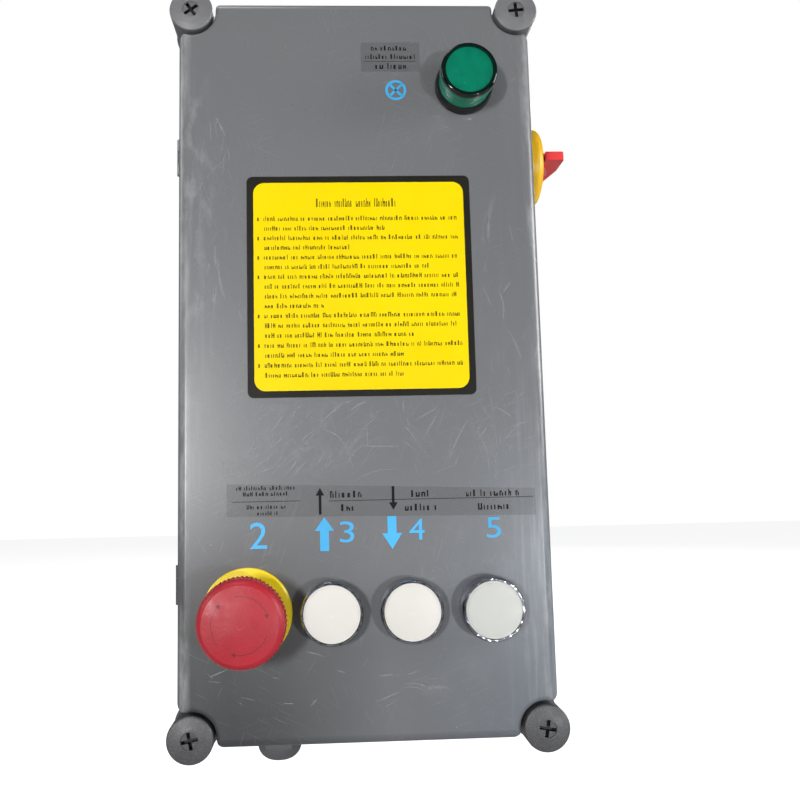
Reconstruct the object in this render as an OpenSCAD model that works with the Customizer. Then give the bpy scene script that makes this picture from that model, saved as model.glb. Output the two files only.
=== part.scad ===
// Control panel for a workshop crane or lift: a hinged plastic enclosure with a pilot lamp,
// an emergency stop, three push buttons, a rotary main switch on its side and the control
// gear inside. Everything is modelled lying on its back: x to the right, y up the panel and
// z out of the wall. Each sub-part is then stood up, so that the finished panel has z up
// and its back against the wall at y = 0.

/* [Enclosure] */
// Overall width over the corner posts
box_w = 192; // [184:1:220]
// Overall height over the corner posts
box_h = 384; // [372:1:420]
// Overall depth from the wall to the front of the cover
box_d = 130; // [128:1:145]
// Depth of the cover
cover_d = 28; // [26:0.5:29]
// Wall thickness of the base and the cover
wall = 3; // [2.6:0.1:3.4]
// How far the side walls stand in from the corner posts
side_inset = 5.5; // [5.2:0.05:6]
// How far the end walls stand in from the corner posts
end_inset = 7.4; // [7:0.1:8]
// Radius of the rounded front edge of the cover
edge_r = 4.5; // [3:0.1:4.8]
// Radius of the rounded edge round the screw notches
notch_edge_r = 2.5; // [1:0.1:4]
// Plan radius of the cover's corners beside the screws
corner_r = 5; // [3:0.1:5.2]
// Gap left between the rims of the base and the cover
seam_gap = 0.3; // [0.2:0.05:0.4]
// Width of the thickened rim
rim_w = 7.2; // [7:0.1:8]
// Height of the thickened rim
rim_h = 8; // [7:0.5:10]

/* [Seal] */
// Width of the groove for the seal
groove_w = 4; // [3.6:0.1:4.2]
// Depth of the groove
groove_h = 4.5; // [4:0.1:5]
// Thickness of the seal
seal_t = 3; // [2.6:0.1:3.2]
// Height of the tongue that presses the seal
tongue_h = 1.5; // [1:0.1:1.5]
// Width of the tongue
tongue_w = 1.6; // [1.2:0.1:2]

/* [Corner posts and cover screws] */
// Radius of a corner post
post_r = 12; // [11.5:0.1:13]
// Radius of the notch round a cover screw
notch_r = 12.2; // [11.8:0.1:12.6]
// Radius of the long channel in a post
channel_r = 8.4; // [8.3:0.05:8.6]
// Radius of the wall fixing hole
fixing_r = 2.75; // [2.2:0.05:3.3]
// Thickness of the post floor that the wall screw pulls on
fixing_floor = 8; // [5:0.5:12]
// Radius of a cover screw's head
head_r = 11; // [10:0.1:11.3]
// How far a screw head stands out of the cover face
head_proud = 1.8; // [1:0.1:6]
// Thickness of the ear that carries the screw
ear_t = 6; // [5:0.5:8]
// Radius of the screw's shank
shank_r = 3.2; // [2.8:0.1:3.4]
// Half the length of the quarter turn lug
lug_l = 7; // [6.6:0.1:7.2]
// Width of the lug
lug_w = 5.2; // [4:0.1:5.6]
// Thickness of the lug
lug_t = 2.6; // [2:0.1:3]

/* [Hinges] */
// Distance of each hinge from the middle of the panel
hinge_y = 112; // [80:1:120]
// Length of a hinge over its three knuckles
hinge_l = 19.5; // [18:0.5:30]
// Outer radius of a knuckle
hinge_r = 2.4; // [2.3:0.1:3.4]
// Radius of a hinge pin
hinge_pin_r = 1.1; // [1:0.05:1.3]

/* [Front operators] */
// Radius of the standard panel hole
panel_hole_r = 11.2; // [11.1:0.05:11.4]
// Height of the row of buttons above the middle
row_y = -123; // [-128:1:-112]
// Position of the emergency stop across the panel
estop_x = -57; // [-58:0.5:-54]
// Position of the raise button across the panel
up_x = -17; // [-18:0.5:-14]
// Position of the lower button across the panel
down_x = 20.7; // [19:0.1:22]
// Position of the lock button across the panel
lock_x = 59; // [56:0.5:60]
// Position of the pilot lamp across the panel
lamp_x = 55; // [52:0.5:57]
// Height of the pilot lamp above the middle
lamp_y = 138; // [134:1:142]
// Radius of a button bezel
bezel_r = 15; // [14.6:0.1:16]
// Height of a button bezel
bezel_h = 11; // [10.5:0.1:13]
// Radius of a button cap
cap_r = 13.3; // [12.5:0.1:13.3]
// Travel of a button
button_travel = 4.5; // [3:0.1:4.6]
// Radius of the mushroom head
mushroom_r = 20; // [18:0.5:21]
// Height of the mushroom head's top above the panel
mushroom_h = 36; // [34:0.5:40]
// Travel of the emergency stop
estop_travel = 6; // [4:0.5:7]
// Number of grip teeth round the mushroom head
grip_teeth = 60; // [40:1:64]
// Radius of the yellow ring under the mushroom head
estop_ring_r = 21.3; // [20:0.1:22]
// Radius of the lamp lens
lens_r = 14; // [13.6:0.1:14.2]
// Height of the lamp lens above the panel
lens_h = 20.5; // [18:0.5:24]

/* [Side switch] */
// Height of the switch above the middle
switch_y = 120.5; // [112:0.5:122]
// Distance of the switch axis from the wall
switch_z = 60; // [56:1:64]
// Radius of the yellow dial
dial_r = 23.2; // [21:0.1:25]
// Thickness of the yellow dial
dial_t = 17.6; // [14:0.1:20]
// Length of the handle's blade
blade_l = 43; // [36:0.5:44]
// Thickness of the blade
blade_t = 5; // [4:0.1:7]
// Height of the blade over the dial
blade_h = 10.6; // [8:0.1:12]
// Radius of the switch shaft
shaft_r = 4; // [3.5:0.1:4.5]
// Width of the square switch body
switch_w = 40; // [36:1:42]
// Number of contact decks
switch_decks = 3; // [2:1:3]

/* [Cable glands] */
// Radius of the gland's thread in the wall
gland_r = 10; // [9:0.1:11]
// Width of the gland's hexagon across its flats
gland_af = 24; // [23:0.5:26]
// Radius of the cable that the seal takes
cable_r = 5; // [4:0.1:5.6]
// Depth of the first gland from the wall
gland_front_z = 66; // [60:1:72]
// Depth of the second gland from the wall
gland_rear_z = 34; // [30:1:38]

/* [Gear inside] */
// Width of the mounting plate
plate_w = 140; // [130:1:144]
// Height of the mounting plate
plate_h = 300; // [290:1:310]
// Thickness of the mounting plate
plate_t = 1.5; // [1:0.1:2]
// Height of the plate bosses
boss_h = 8; // [6:0.5:10]
// Number of terminals in the strip
terminals = 12; // [6:1:14]
// Width of one terminal
terminal_w = 6.2; // [5:0.1:6.4]

/* [Hidden] */
$fn = 96;

// Fit and clearance values
fit = 0.04;
air = 0.4;
seat = 0.3;
bite = 1;

// Places that follow from the enclosure's sizes
post_x = box_w / 2 - post_r;
post_y = box_h / 2 - post_r;
side_w = box_w - 2 * side_inset;
end_h = box_h - 2 * end_inset;
seam_z = box_d - cover_d;
cover_z = seam_z + seam_gap;
inner_z = box_d - wall;
floor_t = wall + 0.5;
plate_z = floor_t + boss_h;
gear_z = plate_z + plate_t;
hinge_x = -side_w / 2 - seat - hinge_r;
knuckle_gap = 0.3;
knuckle_l = (hinge_l - 2 * knuckle_gap) / 3;
groove_in = (rim_w - groove_w) / 2;
post_plate = 2;
lug_gap = 0.4;
slot_l = lug_l + 1.3;

// Colours
grey = [0.42, 0.43, 0.44];
dark_grey = [0.30, 0.31, 0.32];
black = [0.10, 0.10, 0.11];
red = [0.80, 0.12, 0.15];
yellow = [0.98, 0.82, 0.05];
white = [0.95, 0.94, 0.90];
green = [0.0, 0.60, 0.40];
steel = [0.72, 0.73, 0.75];
chrome = [0.85, 0.86, 0.88];
brass = [0.78, 0.62, 0.30];
copper = [0.72, 0.42, 0.25];

// Frames of the faces that carry pieces
module upright() { rotate([90, 0, 0]) children(); }
module on_face(x, y) { translate([x, y, box_d]) children(); }
module on_side() { translate([side_w / 2, switch_y, switch_z]) rotate([0, 90, 0]) children(); }
module on_bottom(place) { translate([place[0], -end_h / 2, place[1]]) rotate([90, 0, 0]) children(); }
module four_corners() {
    for (mx = [0, 1], my = [0, 1]) mirror([mx, 0, 0]) mirror([0, my, 0]) children();
}

// Simple solids along z, given by where they start and end
module rod(r, z0, z1) { translate([0, 0, z0]) cylinder(r = r, h = z1 - z0); }
module tube(r_out, r_in, z0, z1) {
    difference() {
        rod(r_out, z0, z1);
        rod(r_in, z0 - bite, z1 + bite);
    }
}
module block(w, h, z0, z1) {
    translate([-w / 2, -h / 2, z0]) cube([w, h, z1 - z0]);
}
module hex_bar(af, z0, z1) {
    translate([0, 0, z0]) cylinder(r = af / sqrt(3), h = z1 - z0, $fn = 6);
}
module rounded_plate(w, h, r, z0, z1) {
    translate([0, 0, z0]) linear_extrude(z1 - z0) rounded_2d(w, h, r);
}
module rounded_2d(w, h, r) {
    square([w - 2 * r, h], center = true);
    square([w, h - 2 * r], center = true);
    for (sx = [-1, 1], sy = [-1, 1]) translate([sx * (w / 2 - r), sy * (h / 2 - r)]) circle(r);
}

// A coil of round wire, swept as one closed polyhedron
function coil_ring(turns, r, z0, z1, wire, i, steps, sides) =
    let (a = 360 * turns * i / steps, z = z0 + (z1 - z0) * i / steps)
    [for (k = [0:sides - 1]) let (b = 360 * k / sides)
        [(r + wire * cos(b)) * cos(a), (r + wire * cos(b)) * sin(a), z + wire * sin(b)]];
module coil(turns, r, z0, z1, wire) {
    sides = 6;
    steps = round(14 * turns);
    points = [for (i = [0:steps]) each coil_ring(turns, r, z0 + wire, z1 - wire, wire, i, steps, sides)];
    walls = [for (i = [0:steps - 1], k = [0:sides - 1])
        [i * sides + k, i * sides + (k + 1) % sides,
         (i + 1) * sides + (k + 1) % sides, (i + 1) * sides + k]];
    first = [for (k = [sides - 1:-1:0]) k];
    last = [for (k = [0:sides - 1]) steps * sides + k];
    polyhedron(points, concat(walls, [first, last]));
}

// Outline of the cover, inset evenly from its outer wall, with a round notch at each post
module posts_2d(r) { four_corners() translate([post_x, post_y]) circle(r); }
module outline_2d(inset) {
    difference() {
        square([side_w - 2 * inset, end_h - 2 * inset], center = true);
        posts_2d(notch_r + inset);
    }
}

// Outline of the outer wall: the corners beside the notches are rounded in plan
corner_side_y = post_y - sqrt(pow(notch_r + corner_r, 2) - pow(side_w / 2 - corner_r - post_x, 2));
corner_end_x = post_x - sqrt(pow(notch_r + corner_r, 2) - pow(end_h / 2 - corner_r - post_y, 2));
module corner_cut(x, y, from) {
    reach = corner_r + 3;
    to = atan2(post_y - y, post_x - x);
    mid = (from + to) / 2;
    translate([x, y]) difference() {
        polygon([[0, 0], reach * [cos(from), sin(from)], 1.5 * reach * [cos(mid), sin(mid)],
            reach * [cos(to), sin(to)]]);
        circle(corner_r);
    }
}
module wall_outline_2d() {
    difference() {
        outline_2d(0);
        for (sx = [-1, 1], sy = [-1, 1]) scale([sx, sy]) {
            corner_cut(side_w / 2 - corner_r, corner_side_y, 0);
            corner_cut(corner_end_x, end_h / 2 - corner_r, 90);
        }
    }
}
module slab(inset, z0, z1) { translate([0, 0, z0]) linear_extrude(z1 - z0) outline_2d(inset); }
module ring_wall(inset, w, z0, z1) {
    translate([0, 0, z0]) linear_extrude(z1 - z0) difference() {
        outline_2d(inset);
        outline_2d(inset + w);
    }
}

// What the rounded front edge takes away: a square strip less a round bar,
// run along the straight walls and turned round the notches
module edge_section(r, out) {
    difference() {
        translate([out > 0 ? -r : -bite, -r]) square([r + bite, r + bite]);
        translate([out * -r, -r]) circle(r);
    }
}
module front_edge() {
    for (m = [0, 1]) {
        mirror([m, 0, 0]) translate([side_w / 2, end_h / 2, box_d]) rotate([90, 0, 0])
            linear_extrude(end_h) edge_section(edge_r, 1);
        mirror([0, m, 0]) translate([-side_w / 2, end_h / 2, box_d]) rotate([90, 0, 90])
            linear_extrude(side_w) edge_section(edge_r, 1);
    }
    four_corners() translate([post_x, post_y, box_d])
        rotate_extrude() translate([notch_r, 0]) edge_section(notch_edge_r, -1);
}

// Hinge knuckles: one on the base between two on the cover
module knuckle(length, web) {
    rotate([90, 0, 0]) translate([0, 0, -length / 2]) linear_extrude(length) {
        circle(hinge_r);
        polygon([[-hinge_r, 0], [hinge_r + 2 * seat, web], [hinge_r + 2 * seat, 0]]);
    }
}
module knuckle_place(side) { translate([hinge_x, side * hinge_y, seam_z]) children(); }
module hinge_bores(r) {
    for (side = [-1, 1]) knuckle_place(side) rotate([90, 0, 0]) rod(r, -hinge_l, hinge_l);
}

// Base of the enclosure
boss_x = plate_w / 2 - 8;
boss_y = plate_h / 2 - 8;
boss_r = 5;
screw_core_r = 1.7;
gland_places = [[-46, gland_front_z], [10, gland_rear_z]];

module base_tub() {
    color(dark_grey) upright() difference() {
        union() {
            linear_extrude(seam_z) {
                square([side_w, end_h], center = true);
                posts_2d(post_r);
            }
            ring_wall(groove_in + (groove_w - tongue_w) / 2, tongue_w, seam_z - bite, seam_z + tongue_h);
            for (side = [-1, 1]) knuckle_place(side) knuckle(knuckle_l, -9);
        }
        difference() {
            translate([0, 0, floor_t]) linear_extrude(seam_z - rim_h - floor_t) difference() {
                square([side_w - 2 * wall, end_h - 2 * wall], center = true);
                posts_2d(post_r);
            }
            for (sx = [-1, 1], sy = [-1, 1]) translate([sx * boss_x, sy * boss_y])
                rod(boss_r, floor_t - bite, plate_z);
            for (sy = [-1, 0, 1]) translate([0, sy * plate_h / 4])
                block(plate_w / 2, wall, floor_t - bite, plate_z - bite);
        }
        slab(rim_w, seam_z - rim_h - bite, seam_z + bite);
        for (sx = [-1, 1], sy = [-1, 1]) {
            translate([sx * boss_x, sy * boss_y]) rod(screw_core_r, floor_t, plate_z + bite);
            translate([sx * post_x, sy * post_y]) post_channel();
        }
        on_side() rod(panel_hole_r, -wall - bite, bite);
        for (place = gland_places) on_bottom(place) rod(gland_r + 0.2, -wall - bite, bite);
        hinge_bores(hinge_pin_r + fit / 2);
    }
}
module post_channel() {
    rod(channel_r, fixing_floor, seam_z - post_plate);
    rod(fixing_r, -bite, fixing_floor + bite);
    rod(shank_r + 1.5, seam_z - post_plate - bite, seam_z + bite);
    block(2 * slot_l, lug_w + 2 * air, seam_z - post_plate - bite, seam_z + bite);
}

// Cover of the enclosure
module cover() {
    ribs_y = [-78, -20, 20, 78];
    color(grey) upright() difference() {
        union() {
            difference() {
                translate([0, 0, cover_z]) linear_extrude(cover_d - seam_gap) wall_outline_2d();
                front_edge();
                slab(wall, cover_z - bite, inner_z);
            }
            translate([0, 0, cover_z]) linear_extrude(rim_h) difference() {
                wall_outline_2d();
                outline_2d(rim_w);
            }
            translate([0, 0, cover_z]) linear_extrude(ear_t) intersection() {
                square([side_w, end_h], center = true);
                posts_2d(notch_r + wall / 2);
            }
            for (y = ribs_y) translate([0, y]) block(side_w - 2 * wall, 1.6, inner_z - 4, inner_z + bite);
            for (side = [-1, 1], end = [-1, 1]) knuckle_place(side)
                translate([0, end * (knuckle_l + knuckle_gap), 0]) cover_knuckle();
        }
        translate([0, 0, cover_z - bite]) linear_extrude(groove_h + bite) difference() {
            outline_2d(groove_in);
            outline_2d(groove_in + groove_w);
        }
        for (x = [estop_x, up_x, down_x, lock_x]) on_face(x, row_y) rod(panel_hole_r, -wall - bite, bite);
        on_face(lamp_x, lamp_y) rod(panel_hole_r, -wall - bite, bite);
        four_corners() translate([post_x, post_y]) rod(shank_r + air, cover_z - bite, cover_z + ear_t + bite);
        hinge_bores(hinge_pin_r + fit);
    }
}
module cover_knuckle() {
    difference() {
        knuckle(knuckle_l, 9);
        translate([0, -knuckle_l / 2 - bite, -hinge_r - bite])
            cube([hinge_r + 2 * bite, knuckle_l + 2 * bite, hinge_r + bite + seam_gap]);
    }
    rotate([90, 0, 0]) rod(hinge_r, -knuckle_l / 2, knuckle_l / 2);
}

module cover_seal() {
    color(black) upright()
        ring_wall(groove_in, groove_w, cover_z + groove_h - seal_t, cover_z + groove_h);
}

module hinge_pins() {
    color(steel) upright() for (side = [-1, 1]) knuckle_place(side) rotate([90, 0, 0])
        rod(hinge_pin_r, -hinge_l / 2, hinge_l / 2);
}

// Cover screws: a wide plastic head with a cross recess, and a quarter turn lug
head_bottom = cover_z + ear_t + seat;
head_top = box_d + head_proud;
module cover_screw(sx, sy, turn) {
    recess_r = 4.2;
    cross_w = 1.7;
    color(steel) upright() translate([sx * post_x, sy * post_y]) {
        difference() {
            rotate_extrude() polygon(concat(
                [[0, head_bottom], [head_r, head_bottom], [head_r, head_top - 2]],
                [for (a = [0:15:75]) [head_r - 1 + cos(a), head_top - 2 + sin(a)]],
                [[head_r * 0.72, head_top - 0.6], [recess_r + 0.4, head_top - 0.2], [0, head_top - 0.2]]));
            rod(recess_r, head_top - 0.9, head_top + bite);
            rotate([0, 0, turn]) {
                block(cross_w, 2 * recess_r - 0.4, head_top - 4, head_top + bite);
                block(2 * recess_r - 0.4, cross_w, head_top - 4, head_top + bite);
            }
        }
        rod(shank_r, seam_z - post_plate - lug_gap - lug_t, head_bottom + bite);
        intersection() {
            rod(lug_l, seam_z - post_plate - lug_gap - lug_t, seam_z - post_plate - lug_gap);
            block(2 * lug_l, lug_w, 0, seam_z);
        }
    }
}
module cover_screw_top_left() { cover_screw(-1, 1, 35); }
module cover_screw_top_right() { cover_screw(1, 1, 6); }
module cover_screw_bottom_left() { cover_screw(-1, -1, 12); }
module cover_screw_bottom_right() { cover_screw(1, -1, -10); }

// Mounting plate with its screws and rails
rail_a_y = 62;
rail_b_y = -78;
rail_w = 35;
rail_h = 7.5;
rail_t = 1;
rail_l = plate_w - 8;
rail_top = gear_z + rail_h;
module mounting_plate() {
    color(steel) upright() difference() {
        rounded_plate(plate_w, plate_h, 4, plate_z, gear_z);
        for (sx = [-1, 1], sy = [-1, 1]) translate([sx * boss_x, sy * boss_y])
            rod(2.2, plate_z - bite, gear_z + bite);
    }
}
module plate_screws() {
    color(steel) upright() for (sx = [-1, 1], sy = [-1, 1]) translate([sx * boss_x, sy * boss_y])
        difference() {
            union() {
                rod(screw_core_r - 0.02, floor_t + 1, gear_z + bite);
                rod(3.6, gear_z, gear_z + 2.2);
            }
            block(0.9, 8, gear_z + 1.2, gear_z + 3);
        }
}
module rail_2d() {
    lip = (rail_w - 27) / 2;
    for (m = [0, 1]) mirror([m, 0]) {
        translate([0, 0]) square([27 / 2, rail_t]);
        translate([27 / 2 - rail_t, 0]) square([rail_t, rail_h]);
        translate([27 / 2 - rail_t, rail_h - rail_t]) square([lip + rail_t, rail_t]);
    }
}
module din_rails() {
    color(steel) upright() for (y = [rail_a_y, rail_b_y]) translate([-rail_l / 2, y, gear_z]) difference() {
        rotate([90, 0, 90]) linear_extrude(rail_l) rail_2d();
        for (x = [12:18:rail_l - 12]) translate([x, 0]) {
            rod(2.6, -bite, rail_t + bite);
            translate([-4, 0]) rod(2.6, -bite, rail_t + bite);
            translate([-2, 0]) block(4, 5.2, -bite, rail_t + bite);
        }
    }
}
// What clips on a rail stands on its lips, with a foot between them
module on_rail(x, y) { translate([x, y, rail_top]) children(); }

// Contactor
contactor_x = -43;
contactor_w = 45;
contactor_h = 74;
contactor_d = 68;
armature_travel = 3.5;
contactor_base_z = 26;
contactor_deck_z = 40;
contactor_deck_top = 54;
contactor_crown_h = 36;
pole_pitch = 10.4;
pole_row = 29;
pole_well_r = 3.4;
pole_screw_r = 3;
pole_screw_z = 50.5;
pole_screw_l = 2.5;
pole_mouth_h = 9;
pole_mouth_w = 7;
pole_mouth_d = 12;
armature_w = 12;
armature_h = 20;
armature_well = 0.3;
module contactor_terminal_places() {
    for (sy = [-1, 1], i = [-1.5, -0.5, 0.5, 1.5]) translate([i * pole_pitch, sy * pole_row]) children();
}
module contactor_housing() {
    color(dark_grey) upright() on_rail(contactor_x, rail_a_y) difference() {
        union() {
            block(contactor_w, contactor_h, 0, contactor_base_z);
            block(contactor_w, contactor_h - 8, contactor_base_z, contactor_deck_z);
            block(contactor_w, contactor_h, contactor_deck_z, contactor_deck_top);
            block(contactor_w, contactor_crown_h, contactor_deck_top, contactor_d);
        }
        contactor_terminal_places() rod(pole_well_r, pole_screw_z, contactor_deck_top + bite);
        for (sy = [-1, 1], i = [-1.5, -0.5, 0.5, 1.5]) translate([i * pole_pitch, sy * contactor_h / 2])
            block(pole_mouth_w, pole_mouth_d, pole_screw_z - pole_mouth_h, pole_screw_z);
        block(armature_w + 2 * armature_well, armature_h + 2 * armature_well, contactor_d - 12,
            contactor_d + bite);
        for (sx = [-1, 1]) translate([sx * 16, 0]) block(6, 30, contactor_d - 1.5, contactor_d + bite);
    }
}
module contactor_armature() {
    color(white) upright() on_rail(contactor_x, rail_a_y) difference() {
        union() {
            block(armature_w, armature_h, contactor_d - 8, contactor_d - 1);
            block(5, 12, contactor_d - 2, contactor_d + 1.5);
        }
        for (y = [-3, 0, 3]) translate([0, y]) block(6, 0.8, contactor_d + 0.7, contactor_d + 3);
    }
}
module pan_screw(r, z0, z1) {
    difference() {
        rod(r, z0, z1);
        block(0.9, 2 * r, z1 - 0.8, z1 + bite);
        block(2 * r, 0.9, z1 - 0.8, z1 + bite);
    }
}
module contactor_terminals() {
    color(brass) upright() on_rail(contactor_x, rail_a_y) contactor_terminal_places()
        pan_screw(pole_screw_r, pole_screw_z, pole_screw_z + pole_screw_l);
}

// Two pole circuit breaker with a tilting toggle
breaker_x = 6;
breaker_w = 35.4;
breaker_h = 80;
breaker_step_z = 38;
breaker_neck_z = 52;
breaker_nose_z = 58;
breaker_neck_h = 45;
breaker_nose_h = 32;
breaker_side = 4;
breaker_seam = 0.6;
breaker_screw_r = 3.2;
breaker_screw_x = 9;
breaker_screw_y = 32;
breaker_screw_d = 8;
toggle_z = 47;
toggle_tilt = 26;
toggle_r = 11;
toggle_gap = 0.4;
toggle_slot_h = 17;
toggle_l = 17;
toggle_t = 4;
module breaker_housing() {
    color(white) upright() on_rail(breaker_x, rail_a_y) difference() {
        union() {
            block(breaker_w, breaker_h, 0, breaker_step_z);
            block(breaker_w, breaker_neck_h, breaker_step_z, breaker_neck_z);
            block(breaker_w, breaker_nose_h, breaker_neck_z, breaker_nose_z);
        }
        rotate([0, 90, 0]) translate([-toggle_z, 0, -breaker_w / 2 + breaker_side])
            cylinder(r = toggle_r + toggle_gap, h = breaker_w - 2 * breaker_side);
        block(breaker_w - 2 * breaker_side, toggle_slot_h, toggle_z, breaker_nose_z + bite);
        for (sy = [-1, 1], sx = [-1, 1]) translate([sx * breaker_screw_x, sy * breaker_screw_y])
            rod(breaker_screw_r, breaker_step_z - breaker_screw_d, breaker_step_z + bite);
        for (z = [8, 30]) translate([0, 0, z]) difference() {
            block(breaker_w + bite, breaker_h + bite, 0, breaker_seam);
            block(breaker_w - 1, breaker_h - 1, -bite, bite + breaker_seam);
        }
    }
}
module breaker_toggle() {
    color(black) upright() on_rail(breaker_x, rail_a_y) translate([0, 0, toggle_z]) rotate([-toggle_tilt, 0, 0]) {
        rotate([0, 90, 0]) translate([0, 0, -breaker_w / 2 + breaker_side + seat])
            cylinder(r = toggle_r, h = breaker_w - 2 * breaker_side - 2 * seat);
        translate([-breaker_w / 2 + 6, -toggle_t / 2, 0]) cube([breaker_w - 12, toggle_t, toggle_l]);
    }
}

// Control transformer: a laminated core, a wound coil and a sheet frame
trafo_x = -34;
trafo_y = -16;
core_w = 66;
core_t = 32;
core_h = 55;
coil_t = 50;
limb = 11;
window = (core_w - 4 * limb) / 2;
core_z = 1.5;
lamination = 2;
coil_end_gap = 2;
bobbin_t = 1.4;
bobbin_gap = 0.3;
frame_strap_t = 1.6;
frame_strap_w = 24;
frame_foot = 13;
frame_hole_in = 5.5;
module trafo_place() { translate([trafo_x, trafo_y, gear_z]) children(); }
module transformer_core() {
    color(steel) upright() trafo_place() difference() {
        union() {
            for (y = [-core_t / 2:lamination:core_t / 2 - lamination])
                translate([0, y + 0.45 * lamination]) block(core_w, 0.9 * lamination, core_z, core_z + core_h);
            block(core_w - 0.6, core_t - 0.4, core_z + 0.3, core_z + core_h - 0.3);
        }
        for (sx = [-1, 1]) translate([sx * (limb + window / 2), 0])
            block(window, core_t + bite, core_z + limb, core_z + core_h - limb);
    }
}
module transformer_coil() {
    color([0.75, 0.60, 0.25]) upright() trafo_place() difference() {
        union() {
            block(2 * (limb + window) - 1, coil_t, core_z + limb + coil_end_gap,
                core_z + core_h - limb - coil_end_gap);
            for (z = [core_z + limb + seat, core_z + core_h - limb - bobbin_gap - bobbin_t])
                translate([0, 0, z]) block(2 * (limb + window) - 2 * bobbin_gap, coil_t + 4, 0, bobbin_t);
        }
        block(2 * limb + 0.2, core_t + 0.2, 0, core_h + 3);
    }
}
module transformer_frame() {
    color(steel) upright() trafo_place() difference() {
        union() {
            block(core_w + 0.2 + 2 * frame_strap_t, frame_strap_w, 0, 2 * core_z + core_h + frame_strap_t);
            block(core_w + 2 * frame_foot, frame_strap_w, 0, core_z);
        }
        block(core_w + 0.2, frame_strap_w + 2, core_z, core_z + core_h + 0.1);
        for (sx = [-1, 1]) translate([sx * (core_w / 2 + frame_foot - frame_hole_in), 0])
            rod(2.2, -bite, 2 * core_z);
    }
}

// Terminal strip on the lower rail
strip_x0 = -terminals * terminal_w / 2 - 12;
term_h = 42;
term_d = 38;
term_step_z = 22;
term_crown_h = 30;
term_screw_y = 9.5;
term_screw_r = 1.9;
term_well_r = 2.1;
term_well_d = 6;
term_screw_l = 2.5;
term_mouth_w = 3.6;
term_mouth_z = 13;
term_mouth_h = 6;
module terminal_strip() {
    color([0.80, 0.79, 0.74]) upright() for (i = [0:terminals - 1])
        on_rail(strip_x0 + (i + 0.5) * terminal_w, rail_b_y) difference() {
            union() {
                block(terminal_w, term_h, 0, term_step_z);
                block(terminal_w, term_crown_h, term_step_z, term_d);
            }
            for (sy = [-1, 1]) translate([0, sy * term_screw_y])
                rod(term_well_r, term_d - term_well_d, term_d + bite);
            for (sy = [-1, 1]) translate([0, sy * term_h / 2])
                block(term_mouth_w, 12, term_mouth_z, term_mouth_z + term_mouth_h);
            block(3, 8, term_d - 3, term_d + bite);
        }
}
module terminal_screws() {
    color(steel) upright() for (i = [0:terminals - 1], sy = [-1, 1])
        on_rail(strip_x0 + (i + 0.5) * terminal_w, rail_b_y + sy * term_screw_y)
            pan_screw(term_screw_r, term_d - term_well_d, term_d - term_well_d + term_screw_l);
}

// Rectifier, fuse and earth stud beside the transformer
small_gear_x = 34;
rectifier_y = -24;
rectifier_w = 28.5;
rectifier_t = 10;
rectifier_hole_r = 2.4;
rectifier_nut_r = 4;
rectifier_nut_t = 2.5;
tab_place = 9;
tab_t = 0.8;
tab_w = 6.3;
tab_l = 9;
fuse_y = 8;
fuse_w = 50;
fuse_h = 14;
fuse_t = 5;
fuse_r = 3;
fuse_l = 32;
fuse_axis_z = 11;
clip_w = 8;
clip_h = 12;
clip_d = 10;
clip_x = 15;
fuse_hole_x = 21.5;
fuse_hole_r = 1.8;
earth_x = 58;
earth_y = -112;
earth_r = 2;
earth_l = 16;
earth_hex = 8;
earth_hex_t = 4;
earth_washer_r = 4.6;
earth_washer_t = 1;
earth_nut = 7;
earth_nut_z = 7;
earth_nut_t = 3.2;
module rectifier() {
    color(black) upright() translate([small_gear_x, rectifier_y, gear_z]) {
        difference() {
            block(rectifier_w, rectifier_w, 0, rectifier_t);
            rod(rectifier_hole_r, -bite, rectifier_t + bite);
        }
        for (sx = [-1, 1], sy = [-1, 1]) translate([sx * tab_place, sy * tab_place])
            block(tab_t, tab_w, rectifier_t, rectifier_t + tab_l);
        rod(rectifier_nut_r, rectifier_t, rectifier_t + rectifier_nut_t);
    }
}
module fuse_holder() {
    color(black) upright() translate([small_gear_x, fuse_y, gear_z]) difference() {
        union() {
            block(fuse_w, fuse_h, 0, fuse_t);
            for (sx = [-1, 1]) translate([sx * clip_x, 0]) block(clip_w, clip_h, fuse_t, fuse_t + clip_d);
            translate([-fuse_l / 2, 0, fuse_axis_z]) rotate([0, 90, 0]) cylinder(r = fuse_r, h = fuse_l);
        }
        for (sx = [-1, 1]) translate([sx * fuse_hole_x, 0]) rod(fuse_hole_r, -bite, fuse_t + bite);
    }
}
module earth_stud() {
    color(brass) upright() translate([earth_x, earth_y, gear_z]) {
        rod(earth_r, 0, earth_l);
        hex_bar(earth_hex, 0, earth_hex_t);
        rod(earth_washer_r, earth_hex_t, earth_hex_t + earth_washer_t);
        hex_bar(earth_nut, earth_nut_z, earth_nut_z + earth_nut_t);
    }
}

// Pieces that every operator shares
gasket_t = 1;
gasket_r = 14.4;
barrel_r = 10.9;
barrel_l = 16;
locknut_t = 4.5;
module panel_gaskets() {
    color(black) upright() {
        for (x = [up_x, down_x, lock_x]) on_face(x, row_y) tube(gasket_r, panel_hole_r, 0, gasket_t);
        on_face(lamp_x, lamp_y) tube(gasket_r, panel_hole_r, 0, gasket_t);
    }
}
module locknut() {
    difference() {
        union() {
            rod(13.6, -wall - locknut_t, -wall);
            for (a = [0:30:330]) rotate([0, 0, a]) translate([13.4, 0]) block(1.6, 2.6, -wall - locknut_t, -wall);
        }
        rod(barrel_r, -wall - locknut_t - bite, -wall + bite);
    }
}
module panel_locknuts() {
    color(black) upright() {
        for (x = [estop_x, up_x, down_x, lock_x]) on_face(x, row_y) locknut();
        on_face(lamp_x, lamp_y) locknut();
    }
}

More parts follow.
